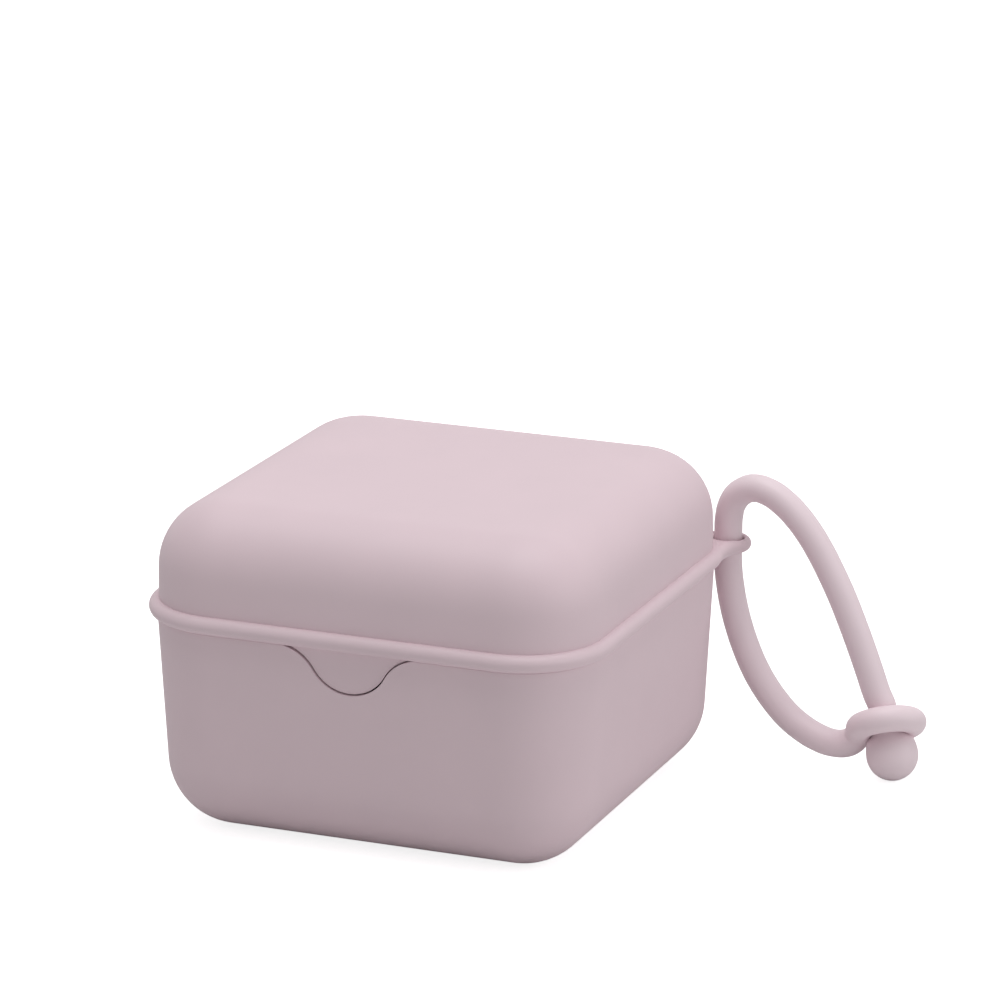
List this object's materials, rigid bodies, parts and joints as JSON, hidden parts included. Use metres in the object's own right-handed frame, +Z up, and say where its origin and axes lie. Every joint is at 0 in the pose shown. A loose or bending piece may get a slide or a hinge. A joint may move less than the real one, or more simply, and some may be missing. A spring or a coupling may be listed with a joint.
{
  "type": "pacifier sterilizer case",
  "caption": "Square rounded plastic box with lift-off lid, perforated steam rack inside and a silicone strap looped through a corner eyelet; stores and steams pacifiers.",
  "frame": {"origin": "middle of the tub's flat underside", "axes": "+Z up out of the lid, -Y towards the finger tongue at the front, +X towards the strap"},
  "size_m": [0.1259, 0.0899, 0.0613],
  "materials": {
    "case_plastic": "fine matte moulded polypropylene",
    "strap_silicone": "satin moulded silicone"
  },
  "bodies": {
    "tub": {"base_shell": "case_plastic"},
    "lid": {"lid_shell": "case_plastic"},
    "rack": {"steam_rack": "case_plastic"},
    "strap": {"strap_cord": "strap_silicone", "strap_ring": "strap_silicone", "strap_knob": "strap_silicone"}
  },
  "joints": [
    {"name": "lid_lift", "type": "slide", "parent": "tub", "child": "lid", "axis": [0, 0, 1], "range_m": [0, 0.07]},
    {"name": "rack_lift", "type": "slide", "parent": "tub", "child": "rack", "axis": [0, 0, 1], "range_m": [0, 0.038]},
    {"name": "strap_swivel", "type": "hinge", "parent": "lid", "child": "strap", "pos_m": [0.04128, 0.04128, 0.0412], "axis": [0, 0, 1], "range_deg": [-50, 150]}
  ]
}
